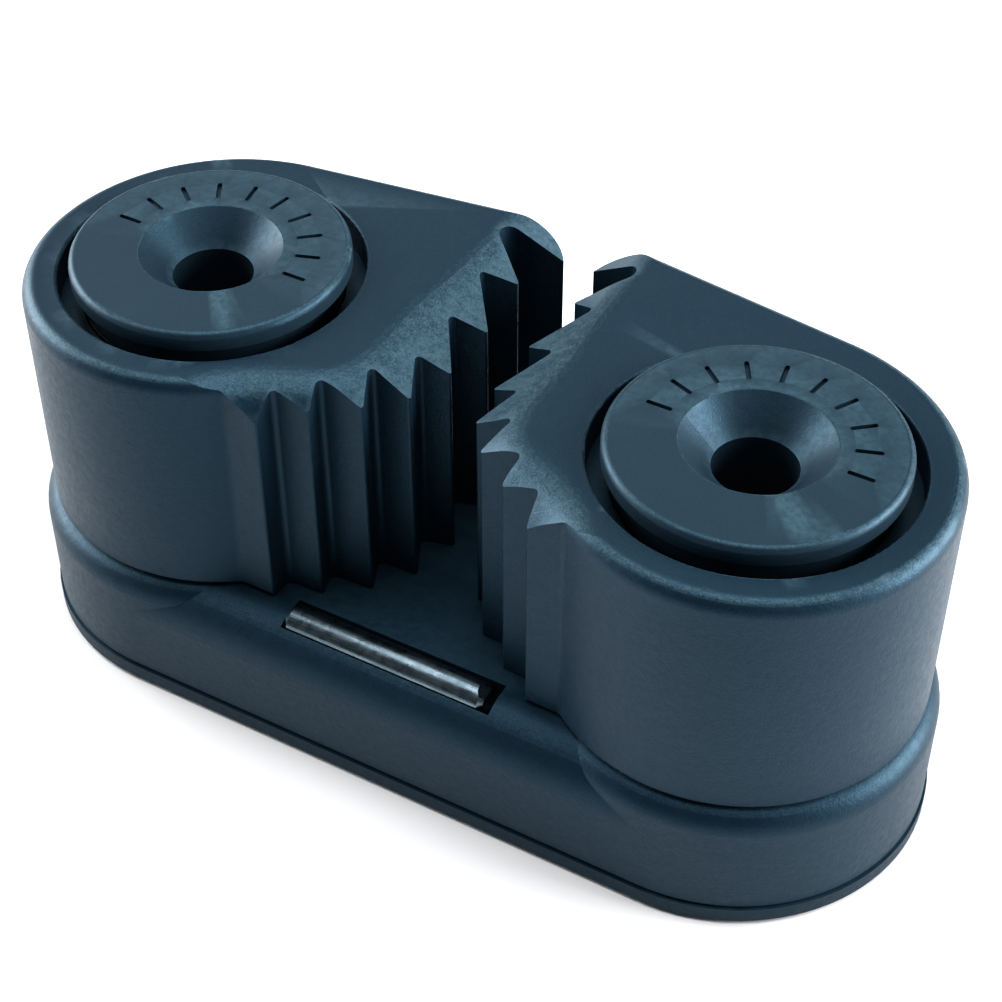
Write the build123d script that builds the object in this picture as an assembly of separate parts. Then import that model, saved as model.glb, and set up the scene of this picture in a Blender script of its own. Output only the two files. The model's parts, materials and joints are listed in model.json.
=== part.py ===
from build123d import *
import math
import os

# Cam cleat for rope: two sprung, toothed cams on ball bearings over one moulded base.
# Millimetres. X runs through the two screw holes, Y from the loaded side (-Y) to the
# tail side (+Y), Z up. The origin is midway between the screw holes on the underside.

# --- Driving dimensions -------------------------------------------------------------
HOLE_SPACING = 38.0          # centre to centre of the two screw holes
SCREW_HOLE_R = 2.6           # clearance hole for a 5 mm screw
COUNTERSINK_R = 4.62         # mouth of the 90 degree countersink

PLATE_R = 13.1               # end radius and half width of the bottom plate
PLATE_T = 1.35
PLATE_EDGE = 0.3
PEG_R = 1.5
PEG_H = 4.0
PEG_Y = 5.5

BODY_R = 12.95               # end radius and half width of the base body
BODY_TOP = 9.75              # top of the deck and of both bosses
SEAM_H = 0.2                 # shadow gap between plate and body
SEAM_IN = 0.4
DECK_ROUND = 3.2             # long rounded shoulder between the bosses
BOSS_ROUND = 1.6             # tighter shoulder round each boss
TUBE_R = 5.4                 # hollow pillar that carries the inner race
TUBE_TOP = 10.4
POCKET_R = 9.2               # spring pocket round the pillar
POCKET_FLOOR = 4.0
PEG_CLEAR = 0.05

BAR_R = 1.1                  # stainless wear bar at the loaded side of the deck
BAR_LEN = 14.6
BAR_X = -0.3
BAR_Y = -10.2
BAR_Z = 9.05
BAR_CHAMFER = 0.3
SHEAR_SLOPE = 35.0           # degrees, the cropped end of the bar
SLOT_LEN = 15.3
SLOT_HALF = 1.16

CAM_BOTTOM = 9.9
CAM_TOP = 26.66
CAM_R = 12.15                # plain cylinder of the cam
CAM_EDGE = 1.0
CAM_FOOT = 0.25
CAM_CORNER = 0.8             # inside corner between the cylinder and the first flank
TAIL_SLOPE = 7.8             # degrees the tail side rises towards the nose
TAIL_DISTANCE = 13.0         # tail side from the cam axis
NOSE_X = 18.2                # end of the nose, from the cam axis
NOSE_R = 2.2
FACE_START = -53.0           # degrees, where the cylinder ends and the teeth start
TOOTH_TIPS = ((9.75, -9.7), (12.4, -7.9), (15.0, -5.95), (16.8, -3.4), (17.55, 0.2),
              (17.6, 4.7), (17.05, 9.75), (19.5, 14.6))
TOOTH_ROOTS = ((9.8, -7.95), (11.9, -6.1), (13.9, -3.45), (15.35, -0.4), (15.2, 3.8),
               (14.85, 8.3), (12.95, 13.0))
ROOT_ROUND = 0.4
LAST_ROOT_ROUND = 0.95       # the groove behind the nose is the widest
TIP_ROUND = 0.18
BEVEL_LOW = 24.3             # height of the tooth tips
BEVEL_LOWER = ((8.0, -11.2), (9.4, -9.9), (12.4, -7.9), (15.0, -5.95), (16.8, -3.4),
               (17.6, 0.2), (18.0, 4.7), (17.8, 9.75), (17.7, 16.0))
BEVEL_UPPER = ((6.9, -10.1), (8.6, -8.6), (11.2, -6.1), (12.5, -3.4), (13.2, -0.9),
               (13.5, 2.0), (13.8, 5.4), (14.0, 9.9), (14.0, 16.0))
BEVEL_SPAN = 3.0             # how far the sloping cut runs on above and below
BEVEL_ROUND = 4.0            # soft fold between the flat top and the sloping cut

RECESS_R = 9.84              # recess in the cam's top, round the hub cap
RECESS_FLOOR = 24.6
RECESS_EDGE = 0.2
BORE_R = 8.46                # outer raceway, bored in the cam
LIP_TOP = 11.7               # lip that carries the lower balls
LIP_R = 6.2

CAP_R = 9.0
CAP_TOP = 27.94
CAP_RIM_T = 1.25             # thickness of the cap's rim
CAP_NECK_R = 8.3
CAP_UNDER = 24.8
CAP_EDGE = 0.45
CAP_MOUTH = 0.15
MARK_R = 6.3                 # arc of engraved tick marks on the cap
MARK_LEN = 1.7
MARK_W = 0.32
MARK_DEPTH = 0.25
MARK_PITCH = 20.0            # degrees
MARKS = 10
POST_R = 4.2

RACE_CLEAR = 0.05            # slip fit of race and pillar on the hub post
BALL_R = 1.5
BALL_PITCH_R = 6.93
BALLS_PER_ROW = 13
LOWER_BALLS_Z = 13.25
UPPER_BALLS_Z = 22.85
SPACER = (5.5, 8.36, 14.8, 21.3)        # inner radius, outer radius, bottom, top
RETAINER = (5.45, 8.35, 24.42, 24.75)
THRUST = (9.75, 11.25, 9.35, 9.86)
THRUST_GAP = 0.05

SPRING_WIRE = 0.55           # wire radius
SPRING_MEAN = 7.35
SPRING_PITCH = 1.3
SPRING_TURNS = 3.25
SPRING_Z = 4.7
SPRING_LEG = 1.9
LEG_HOLE_R = 0.75
LEG_HOLE_DEPTH = 1.3
SPRING_ANGLE = 200.0         # degrees, where the lower leg stands

OPEN_ANGLE = 60.0            # travel of each cam from closed to fully open
LUG_IN = 8.3
LUG_OUT = 9.0
LUG_H = 1.6
LUG_ANGLE = 150.0            # degrees, middle of the lug with the cam closed
LUG_HALF = 10.0
STOP_HALF = 7.0
STOP_GAP = 0.6               # degrees left between lug and stop at both ends
STOP_TOP = 9.6

AXIS_X = -HOLE_SPACING / 2   # axis of the left cam; the right side is its mirror image


def polar(radius, degrees):
    angle = math.radians(degrees)
    return radius * math.cos(angle), radius * math.sin(angle)


def disc(radius, z0, z1):
    return Pos(0, 0, z0) * extrude(Circle(radius), z1 - z0)


def ring(inner, outer, z0, z1):
    return disc(outer, z0, z1) - disc(inner, z0, z1)


def sector(inner, outer, z0, z1, middle, half):
    """Part of a ring, from middle - half to middle + half degrees."""
    reach = outer / math.cos(math.radians(half))
    wedge = Polygon((0, 0), polar(reach, middle - half), polar(reach, middle + half), align=None)
    return ring(inner, outer, z0, z1) & (Pos(0, 0, z0) * extrude(wedge, z1 - z0))


def stadium(radius, z0, z1):
    return Pos(0, 0, z0) * extrude(SlotCenterToCenter(HOLE_SPACING, 2 * radius), z1 - z0)


def on_both_axes(shape):
    return Pos(AXIS_X, 0, 0) * shape + Pos(-AXIS_X, 0, 0) * shape


def top_edges(shape):
    return shape.edges().group_by(Axis.Z)[-1]


def bottom_edges(shape):
    return shape.edges().group_by(Axis.Z)[0]


# --- Cam ----------------------------------------------------------------------------
def cam_blank():
    """Cam without its teeth: cylinder, sloping tail side and rounded nose."""
    sine = math.sin(math.radians(TAIL_SLOPE))
    cosine = math.cos(math.radians(TAIL_SLOPE))
    start = polar(CAM_R, FACE_START)
    middle = (-CAM_R, 0)
    tail_r = (TAIL_DISTANCE - CAM_R * sine) / (1 - sine)
    tail_centre = Vector(tail_r - CAM_R, 0)
    tangent = tail_centre + Vector(*polar(tail_r, 90 + TAIL_SLOPE))
    nose = (NOSE_X, (TAIL_DISTANCE + NOSE_X * sine) / cosine)
    face = FilletPolyline(start, (NOSE_X, start[1]), nose, tangent, radius=[CAM_FOOT, NOSE_R])
    tail_arc = ThreePointArc(tangent, tail_centre + Vector(*polar(tail_r, 135 + TAIL_SLOPE / 2)), middle)
    load_arc = ThreePointArc(middle, polar(CAM_R, FACE_START / 2 - 90), start)
    outline = make_face([face, tail_arc, load_arc])
    blank = Pos(0, 0, CAM_BOTTOM) * extrude(outline, CAM_TOP - CAM_BOTTOM)
    corner = blank.edges().filter_by(Axis.Z).sort_by_distance((*start, CAM_BOTTOM))[0]
    blank = fillet(corner, CAM_CORNER)
    blank = fillet(top_edges(blank), CAM_EDGE)
    return fillet(bottom_edges(blank), CAM_FOOT)


def tooth_block():
    """Everything behind the toothed line; its first flank lies along the blank's own."""
    far = 3 * CAM_R
    start = polar(CAM_R, FACE_START)
    points = [(start[0], -far), start, TOOTH_TIPS[0]]
    radii = [CAM_FOOT, TIP_ROUND]
    for root, tip in zip(TOOTH_ROOTS, TOOTH_TIPS[1:]):
        points += [root, tip]
        radii += [ROOT_ROUND, TIP_ROUND]
    radii[-2] = LAST_ROOT_ROUND
    points.append((TOOTH_TIPS[-1][0], far))
    line = FilletPolyline(*points, radius=radii)
    around = Polyline(points[-1], (-far, far), (-far, -far), points[0])
    return Pos(0, 0, CAM_BOTTOM) * extrude(make_face([line, around]), CAM_TOP - CAM_BOTTOM)


def bevel_block():
    """Everything below the flat top and the long sloping cut along the toothed face."""
    def section(z):
        share = (z - BEVEL_LOW) / (CAM_TOP - BEVEL_LOW)
        edge = [(lo[0] + share * (up[0] - lo[0]), lo[1] + share * (up[1] - lo[1]))
                for lo, up in zip(BEVEL_LOWER, BEVEL_UPPER)]
        far = -2 * CAM_R
        rim = Polyline(edge[-1], (edge[-1][0], 2 * CAM_R), (far, 2 * CAM_R), (far, far),
                       (edge[0][0], far), edge[0])
        return Pos(0, 0, z) * make_face([Spline(*edge), rim])
    block = loft([section(BEVEL_LOW - BEVEL_SPAN), section(CAM_TOP + BEVEL_SPAN)], ruled=True)
    block &= disc(4 * CAM_R, 0, CAM_TOP)
    fold = top_edges(block).sort_by(Axis.X)[-3:]
    return fillet(fold, BEVEL_ROUND) + disc(2 * CAM_R, 0, BEVEL_LOW - BEVEL_SPAN)


def make_cam():
    cam = cam_blank() & bevel_block() & tooth_block()
    cam -= disc(RECESS_R, RECESS_FLOOR, CAM_TOP)
    cam = fillet(top_edges(cam).filter_by(GeomType.CIRCLE), RECESS_EDGE)
    cam -= disc(BORE_R, LIP_TOP, RECESS_FLOOR)
    cam -= disc(LIP_R, CAM_BOTTOM, LIP_TOP)
    cam += sector(LUG_IN, LUG_OUT, CAM_BOTTOM - LUG_H, CAM_BOTTOM, LUG_ANGLE, LUG_HALF)
    leg_x, leg_y = polar(SPRING_MEAN, SPRING_ANGLE + 360 * SPRING_TURNS)
    cam -= Pos(leg_x, leg_y, 0) * disc(LEG_HOLE_R, CAM_BOTTOM, CAM_BOTTOM + LEG_HOLE_DEPTH)
    return cam


# --- Bearing, hub and spring --------------------------------------------------------
def make_hub_cap():
    cap = disc(CAP_R, CAP_TOP - CAP_RIM_T, CAP_TOP)
    cap = fillet(top_edges(cap), CAP_EDGE)
    cap += disc(CAP_NECK_R, CAP_UNDER, CAP_TOP - CAP_RIM_T)
    cap += disc(POST_R, PLATE_T, CAP_UNDER)
    cap -= disc(SCREW_HOLE_R, PLATE_T, CAP_TOP)
    depth = COUNTERSINK_R - SCREW_HOLE_R
    cap -= Pos(0, 0, CAP_TOP - depth / 2) * Cone(SCREW_HOLE_R, COUNTERSINK_R, depth)
    mouth = top_edges(cap).sort_by(SortBy.LENGTH)[0]
    cap = fillet(mouth, CAP_MOUTH)
    mark = extrude(SlotOverall(MARK_LEN, MARK_W), MARK_DEPTH)
    for i in range(MARKS):
        angle = 90 + MARK_PITCH * (i - (MARKS - 1) / 2)
        cap -= Rot(0, 0, angle) * Pos(MARK_R, 0, CAP_TOP - MARK_DEPTH) * mark
    return cap


def make_ball_row(z):
    angles = [360 * i / BALLS_PER_ROW for i in range(BALLS_PER_ROW)]
    balls = [Pos(*polar(BALL_PITCH_R, a), z) * Sphere(BALL_R) for a in angles]
    return Compound(children=balls)


def make_spring():
    """Closed-wound torsion spring: lower leg in the base, upper leg in the cam."""
    height = SPRING_PITCH * SPRING_TURNS
    coil = Pos(0, 0, SPRING_Z) * Rot(0, 0, SPRING_ANGLE) * Helix(SPRING_PITCH, height, SPRING_MEAN)
    spring = sweep(Plane(coil @ 0, z_dir=coil % 0) * Circle(SPRING_WIRE), path=coil, is_frenet=True)
    for end, low, high in ((coil @ 0, -SPRING_LEG, 0), (coil @ 1, 0, SPRING_LEG)):
        spring += Pos(end.X, end.Y, end.Z) * disc(SPRING_WIRE, low, high)
        spring += Pos(end.X, end.Y, end.Z) * Sphere(SPRING_WIRE)
    return spring


# --- Base ---------------------------------------------------------------------------
def make_base_body():
    deck = fillet(top_edges(stadium(BODY_R, PLATE_T + SEAM_H, BODY_TOP)), DECK_ROUND)
    boss = fillet(top_edges(disc(BODY_R, PLATE_T + SEAM_H, BODY_TOP)), BOSS_ROUND)
    body = deck + on_both_axes(boss)
    body += stadium(BODY_R - SEAM_IN, PLATE_T, PLATE_T + SEAM_H)
    pocket = ring(TUBE_R, POCKET_R, POCKET_FLOOR, BODY_TOP)
    for middle in (LUG_ANGLE - LUG_HALF - STOP_GAP - STOP_HALF,
                   LUG_ANGLE + LUG_HALF + OPEN_ANGLE + STOP_GAP + STOP_HALF):
        pocket -= sector(LUG_IN, POCKET_R, POCKET_FLOOR, STOP_TOP, middle, STOP_HALF)
    leg_x, leg_y = polar(SPRING_MEAN, SPRING_ANGLE)
    leg_hole = disc(LEG_HOLE_R, SPRING_Z - SPRING_LEG - THRUST_GAP, POCKET_FLOOR)
    pocket += Pos(leg_x, leg_y, 0) * leg_hole
    pocket += ring(THRUST[0] - THRUST_GAP, THRUST[1] + THRUST_GAP, THRUST[2], BODY_TOP)
    left = Pos(AXIS_X, 0, 0) * pocket
    body -= left + mirror(left, Plane.YZ)
    body += on_both_axes(disc(TUBE_R, BODY_TOP, TUBE_TOP))
    body -= on_both_axes(disc(POST_R + RACE_CLEAR, PLATE_T, TUBE_TOP))
    slot_profile = Circle(SLOT_HALF) + Pos(0, SLOT_HALF) * Rectangle(2 * SLOT_HALF, 2 * SLOT_HALF)
    slot = extrude(Plane.YZ.offset(-SLOT_LEN / 2) * slot_profile, SLOT_LEN)
    body -= Pos(0, BAR_Y, BAR_Z) * slot
    for y in (-PEG_Y, PEG_Y):
        body -= Pos(0, y, 0) * disc(PEG_R + PEG_CLEAR, PLATE_T, PLATE_T + PEG_H + PEG_CLEAR)
    return body


def make_base_plate():
    plate = chamfer(bottom_edges(stadium(PLATE_R, 0, PLATE_T)), PLATE_EDGE)
    for y in (-PEG_Y, PEG_Y):
        plate += Pos(0, y, 0) * disc(PEG_R, 0, PLATE_T + PEG_H)
    return plate - on_both_axes(disc(SCREW_HOLE_R, 0, PLATE_T))


def make_wear_bar():
    """Cut from rod: one end chamfered, the other cropped to a sloping face."""
    bar = Pos(0, 0, -BAR_LEN / 2) * extrude(Circle(BAR_R), BAR_LEN)
    bar = chamfer(bar.edges().filter_by(GeomType.CIRCLE), BAR_CHAMFER)
    bar = Rot(0, 90, 0) * bar
    crop = Pos(BAR_LEN / 2, 0, 0) * Rot(0, SHEAR_SLOPE, 0) * Pos(0, 0, BAR_R)
    bar -= crop * Box(4 * BAR_R, 4 * BAR_R, BAR_R)
    return Pos(BAR_X, BAR_Y, BAR_Z) * bar


# --- Nodes --------------------------------------------------------------------------
nodes = {
    "base_body": make_base_body(),
    "base_plate": make_base_plate(),
    "wear_bar": make_wear_bar(),
}
one_side = {
    "cam": make_cam(),
    "hub_cap": make_hub_cap(),
    "inner_race": ring(POST_R + RACE_CLEAR, TUBE_R, TUBE_TOP, CAP_UNDER),
    "lower_ball_row": make_ball_row(LOWER_BALLS_Z),
    "upper_ball_row": make_ball_row(UPPER_BALLS_Z),
    "ball_spacer": ring(*SPACER),
    "ball_retainer": ring(*RETAINER),
    "thrust_ring": ring(*THRUST),
    "torsion_spring": make_spring(),
}
for name, shape in one_side.items():
    left = Pos(AXIS_X, 0, 0) * shape
    nodes[name + "_left"] = left
    nodes[name + "_right"] = mirror(left, Plane.YZ)

os.makedirs("parts", exist_ok=True)
for name, shape in nodes.items():
    export_step(shape, "parts/" + name + ".step")
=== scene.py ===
import json
import math

import bpy
from mathutils import Matrix, Vector


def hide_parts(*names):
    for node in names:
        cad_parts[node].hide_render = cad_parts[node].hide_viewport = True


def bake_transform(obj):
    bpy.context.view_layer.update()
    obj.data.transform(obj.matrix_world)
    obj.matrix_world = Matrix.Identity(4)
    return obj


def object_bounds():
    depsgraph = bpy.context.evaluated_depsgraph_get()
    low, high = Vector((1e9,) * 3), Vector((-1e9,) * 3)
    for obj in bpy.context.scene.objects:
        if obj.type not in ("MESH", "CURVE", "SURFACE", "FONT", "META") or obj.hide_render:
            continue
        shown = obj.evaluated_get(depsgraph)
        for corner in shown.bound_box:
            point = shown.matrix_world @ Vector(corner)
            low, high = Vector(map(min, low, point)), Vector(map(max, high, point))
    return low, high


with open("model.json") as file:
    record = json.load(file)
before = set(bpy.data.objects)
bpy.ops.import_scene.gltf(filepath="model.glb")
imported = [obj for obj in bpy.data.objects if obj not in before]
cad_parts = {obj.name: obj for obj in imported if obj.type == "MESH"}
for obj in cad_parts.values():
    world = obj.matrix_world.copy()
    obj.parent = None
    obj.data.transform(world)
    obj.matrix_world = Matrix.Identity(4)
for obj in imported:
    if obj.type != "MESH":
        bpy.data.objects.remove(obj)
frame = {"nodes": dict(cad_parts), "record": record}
cad_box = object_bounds()

# Everything is in metres, in the cleat's own frame: X through the screw holes,
# Y from the loaded side to the tail side, Z up from the underside.
MM = 0.001

# --- Sizes of the surface detail -----------------------------------------------------
SPECK = 0.13 * MM           # moulded grain of the nylon
MOTTLE = 0.5 * MM           # its uneven gloss and wear
CLOUD = 4.5 * MM            # its cloudy patches
GRAIN_DEPTH = 0.02 * MM
SCRATCH = 0.16 * MM         # scratches in the drawn steel, measured across
SCRATCH_SQUEEZE = 0.05      # scale of the scratches' noise along the draw
SCRATCH_DEPTH = 0.004 * MM
DENT = 0.7 * MM
DENT_DEPTH = 0.012 * MM
MILK = 1.2 * MM             # milky patches in the acetal
HAZE = 0.3 * MM             # its uneven gloss
RIPPLE = 0.2 * MM
RIPPLE_DEPTH = 0.004 * MM

# --- Looks of the materials: linear colours, then roughness --------------------------
NYLON_GLOSS = 0.45
NYLON_GLOSS_TINT = (0.3, 0.64, 0.9, 1)
NYLONS = {                  # dark grain, light grain, paler colour for wear and painted sheen on slopes and edges, roughness, strength of the grain
    "cam_nylon": ((0.005, 0.014, 0.024), (0.010, 0.025, 0.039), (0.055, 0.095, 0.12), 0.42, 1.0),
    "base_nylon": ((0.004, 0.012, 0.021), (0.008, 0.021, 0.034), (0.022, 0.046, 0.066), 0.44, 1.0),
    "plate_nylon": ((0.003, 0.009, 0.015), (0.006, 0.015, 0.024), (0.014, 0.03, 0.044), 0.5, 1.0),
    "cap_nylon": ((0.01, 0.02, 0.03), (0.015, 0.03, 0.043), (0.045, 0.085, 0.11), 0.45, 0.6),
}
STEELS = {                  # dark scratches, light metal, roughness, axis the metal is drawn along
    "bar_steel": ((0.09, 0.125, 0.15), (0.23, 0.3, 0.345), 0.24, 0),
    "spring_steel": ((0.4, 0.4, 0.38), (0.6, 0.6, 0.57), 0.3, 2),
}
ACETALS = {                 # base, milky tint, roughness
    "race_plastic": ((0.7, 0.69, 0.64), (0.78, 0.77, 0.73), 0.35),
    "ball_plastic": ((0.8, 0.79, 0.74), (0.88, 0.87, 0.83), 0.22),
    "washer_plastic": ((0.003, 0.004, 0.006), (0.006, 0.008, 0.011), 0.5),
}

# --- Stage ---------------------------------------------------------------------------
CAMERA_AZIMUTH = 29.4       # degrees to the right of straight in front of the load side
CAMERA_ELEVATION = 42.65    # degrees above the deck
CAMERA_TARGET = Vector((1.19, 1.72, 13.79)) * MM
CAMERA_DISTANCE = 138.85 * MM
CAMERA_CLIP = 1 * MM
LENS = 76.7                 # millimetres, on a sensor this wide:
SENSOR = 36
SOFTBOXES = {               # place, width, height, power in watts
    "left_box": ((-0.36, -0.02, 0.15), 0.26, 0.24, 2.3),
    "right_box": ((0.34, 0.16, 0.14), 0.26, 0.22, 3.4),
    "back_box": ((-0.2, 0.34, 0.36), 0.4, 0.3, 0.35),
    "top_box": ((0.0, 0.0, 0.5), 0.4, 0.3, 1.65),
}
SKY_COLOUR = (0.85, 0.93, 1.0, 1)
SKY_STRENGTH = 0.1
FLOOR_SIZE = 4
FLOOR_COLOUR = (0.8, 0.8, 0.81, 1)
FLOOR_ROUGHNESS = 0.7
FLOOR_GLOSS = 0.2


# --- Node materials ------------------------------------------------------------------
class Nodes:
    """Small helper that builds one material's node tree."""

    def __init__(self, name):
        self.material = bpy.data.materials.new(name)
        self.material.use_nodes = True
        self.tree = self.material.node_tree
        self.shader = self.tree.nodes["Principled BSDF"]
        self.where = self.add("ShaderNodeTexCoord").outputs["Object"]

    def add(self, kind, **values):
        node = self.tree.nodes.new(kind)
        for key, value in values.items():
            setattr(node, key, value)
        return node

    def link(self, source, target):
        self.tree.links.new(source, target)

    def noise(self, size, detail=3.0, roughness=0.55, stretch=None):
        """Noise whose features are about size metres across, scaled along X, Y, Z by stretch."""
        node = self.add("ShaderNodeTexNoise")
        node.inputs["Scale"].default_value = 1 / size
        node.inputs["Detail"].default_value = detail
        node.inputs["Roughness"].default_value = roughness
        if stretch:
            scaled = self.add("ShaderNodeMapping")
            scaled.inputs["Scale"].default_value = stretch
            self.link(self.where, scaled.inputs["Vector"])
            self.link(scaled.outputs["Vector"], node.inputs["Vector"])
        else:
            self.link(self.where, node.inputs["Vector"])
        return node.outputs["Fac"]

    def times(self, a, b):
        node = self.add("ShaderNodeMath", operation="MULTIPLY")
        self.link(a, node.inputs[0])
        self.link(b, node.inputs[1])
        return node.outputs["Value"]

    def upward(self):
        """How far the surface faces up: 0 on walls, 1 on level faces."""
        normal = self.add("ShaderNodeNewGeometry").outputs["True Normal"]
        parts = self.add("ShaderNodeSeparateXYZ")
        self.link(normal, parts.inputs["Vector"])
        return parts.outputs["Z"]

    def ramp(self, value, low, high, to_low=0.0, to_high=1.0):
        """Maps low..high to to_low..to_high and holds the ends."""
        node = self.add("ShaderNodeMapRange")
        for key, number in (("From Min", low), ("From Max", high), ("To Min", to_low), ("To Max", to_high)):
            node.inputs[key].default_value = number
        self.link(value, node.inputs["Value"])
        return node.outputs["Result"]

    def mix(self, factor, a, b):
        """Blends from a to b, each a colour or another node's output."""
        node = self.add("ShaderNodeMix", data_type="RGBA")
        self.link(factor, node.inputs["Factor"])
        for socket, colour in ((node.inputs["A"], a), (node.inputs["B"], b)):
            if isinstance(colour, tuple):
                socket.default_value = (*colour, 1)
            else:
                self.link(colour, socket)
        return node.outputs["Result"]

    def bump(self, height, distance, below=None):
        """Relief of the given depth, on top of the relief below."""
        node = self.add("ShaderNodeBump")
        node.inputs["Strength"].default_value = 1.0
        node.inputs["Distance"].default_value = distance
        self.link(height, node.inputs["Height"])
        if below is not None:
            self.link(below, node.inputs["Normal"])
        return node.outputs["Normal"]


def nylon(name, dark, light, wear_and_sheen, rough, grain):
    """Glass-filled nylon: speckled grain, cloudy patches, painted sheen with scuffed grain on sloping
    faces, and a painted highlight with some wear on upward edges.
    """
    n = Nodes(name)
    speck = n.noise(SPECK, 2.0, 0.7)
    mottle = n.noise(MOTTLE, 3.0, 0.65)
    cloud = n.noise(CLOUD, 3.0)
    body = n.mix(n.ramp(speck, 0.3, 0.72), dark, light)
    body = n.mix(n.ramp(cloud, 0.35, 0.75, 0.0, 0.4), body, light)
    up = n.upward()
    # Sloping faces are painted paler by their tilt alone: a painted sheen, broken up by scuffed grain.
    painted_sheen_slopes = n.times(n.ramp(up, 0.74, 0.82), n.ramp(up, 0.99, 0.94))
    patchy = n.times(n.ramp(mottle, 0.3, 0.65, 0.5, 1.0), n.ramp(speck, 0.32, 0.66, 0.15, 1.0))
    body = n.mix(n.times(painted_sheen_slopes, patchy), body, wear_and_sheen)
    # Convex edges facing up are painted paler: a painted highlight along the rounded rims, partly edge
    # wear.
    pointed = n.add("ShaderNodeNewGeometry").outputs["Pointiness"]
    edge_wear_and_highlight = n.times(n.ramp(pointed, 0.515, 0.6), n.ramp(mottle, 0.3, 0.6, 0.25, 0.8))
    edge_wear_and_highlight = n.times(edge_wear_and_highlight, n.ramp(up, 0.05, 0.4))
    n.link(n.mix(edge_wear_and_highlight, body, wear_and_sheen), n.shader.inputs["Base Color"])
    n.link(n.ramp(mottle, 0.3, 0.75, rough - 0.05, rough + 0.08), n.shader.inputs["Roughness"])
    n.shader.inputs["Specular IOR Level"].default_value = NYLON_GLOSS
    n.shader.inputs["Specular Tint"].default_value = NYLON_GLOSS_TINT
    fine = n.bump(speck, GRAIN_DEPTH * grain)
    n.link(n.bump(mottle, GRAIN_DEPTH * grain, fine), n.shader.inputs["Normal"])
    return n.material


def steel(name, dark, light, rough, along):
    """Drawn stainless steel: lengthwise scratches, small dents and uneven polish."""
    n = Nodes(name)
    squeeze = [1.0, 1.0, 1.0]
    squeeze[along] = SCRATCH_SQUEEZE
    scratch = n.noise(SCRATCH, 4.0, 0.7, squeeze)
    dents = n.noise(DENT, 2.0)
    n.link(n.mix(n.ramp(scratch, 0.3, 0.7), dark, light), n.shader.inputs["Base Color"])
    n.link(n.ramp(dents, 0.3, 0.75, rough, rough + 0.14), n.shader.inputs["Roughness"])
    n.shader.inputs["Metallic"].default_value = 1.0
    rubbed = n.bump(scratch, SCRATCH_DEPTH)
    n.link(n.bump(dents, DENT_DEPTH, rubbed), n.shader.inputs["Normal"])
    return n.material


def acetal(name, base, tint, rough):
    """Smooth acetal with a faint, milky unevenness."""
    n = Nodes(name)
    milk = n.noise(MILK, 3.0)
    n.link(n.mix(n.ramp(milk, 0.3, 0.7), base, tint), n.shader.inputs["Base Color"])
    n.link(n.ramp(n.noise(HAZE), 0.3, 0.7, rough - 0.05, rough + 0.05), n.shader.inputs["Roughness"])
    n.link(n.bump(n.noise(RIPPLE, 2.0), RIPPLE_DEPTH), n.shader.inputs["Normal"])
    return n.material


materials = {name: nylon(name, *look) for name, look in NYLONS.items()}
materials.update({name: steel(name, *look) for name, look in STEELS.items()})
materials.update({name: acetal(name, *look) for name, look in ACETALS.items()})

for part in frame["record"]["subparts"]:
    mesh = frame["nodes"][part["node"]].data
    mesh.materials.clear()
    mesh.materials.append(materials[part["material_slot"]])


# --- Springs -------------------------------------------------------------------------
def twisting_spring(side):
    """The wound spring in the base, copied into an object of its own in place of the CAD part."""
    name = "torsion_spring_" + side
    spring = bpy.data.objects.new("wound_spring_" + side, frame["nodes"][name].data.copy())
    bpy.context.scene.collection.objects.link(spring)
    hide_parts(name)
    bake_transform(spring)


for side in ("left", "right"):
    twisting_spring(side)


# --- Camera, lights and floor --------------------------------------------------------
def look_from(obj, place, target):
    turn = (target - place).to_track_quat("-Z", "Y").to_matrix().to_4x4()
    obj.matrix_world = Matrix.Translation(place) @ turn


def make_camera():
    """The photographer's place: to the right of the load side, looking down."""
    azimuth = math.radians(CAMERA_AZIMUTH)
    elevation = math.radians(CAMERA_ELEVATION)
    back = Vector((math.sin(azimuth) * math.cos(elevation), -math.cos(azimuth) * math.cos(elevation),
                   math.sin(elevation)))
    data = bpy.data.cameras.new("camera")
    data.sensor_width = SENSOR
    data.lens = LENS
    data.clip_start = CAMERA_CLIP
    camera = bpy.data.objects.new("camera", data)
    bpy.context.scene.collection.objects.link(camera)
    look_from(camera, CAMERA_TARGET + back * CAMERA_DISTANCE, CAMERA_TARGET)
    bpy.context.scene.camera = camera


def softbox(name, place, width, height, power):
    """A soft box aimed at the middle of the cleat."""
    data = bpy.data.lights.new(name, "AREA")
    data.shape = "RECTANGLE"
    data.size, data.size_y = width, height
    data.energy = power
    light = bpy.data.objects.new(name, data)
    bpy.context.scene.collection.objects.link(light)
    look_from(light, Vector(place), (cad_box[0] + cad_box[1]) / 2)


def make_floor():
    """Plain pale floor, level with the underside."""
    bpy.ops.mesh.primitive_plane_add(size=FLOOR_SIZE)
    floor = bpy.context.object
    floor.name = "floor"
    floor.location.z = cad_box[0].z
    material = bpy.data.materials.new("floor")
    material.use_nodes = True
    shader = material.node_tree.nodes["Principled BSDF"]
    shader.inputs["Base Color"].default_value = FLOOR_COLOUR
    shader.inputs["Roughness"].default_value = FLOOR_ROUGHNESS
    shader.inputs["Specular IOR Level"].default_value = FLOOR_GLOSS
    floor.data.materials.append(material)


def make_sky():
    """Faint cool light from all round."""
    sky = bpy.data.worlds.new("world")
    sky.use_nodes = True
    sky.node_tree.nodes["Background"].inputs["Color"].default_value = SKY_COLOUR
    sky.node_tree.nodes["Background"].inputs["Strength"].default_value = SKY_STRENGTH
    bpy.context.scene.world = sky


make_camera()
make_floor()
for name, look in SOFTBOXES.items():
    softbox(name, *look)
make_sky()
bpy.context.scene.view_settings.view_transform = "Standard"
bpy.context.scene.view_settings.look = "Medium High Contrast"
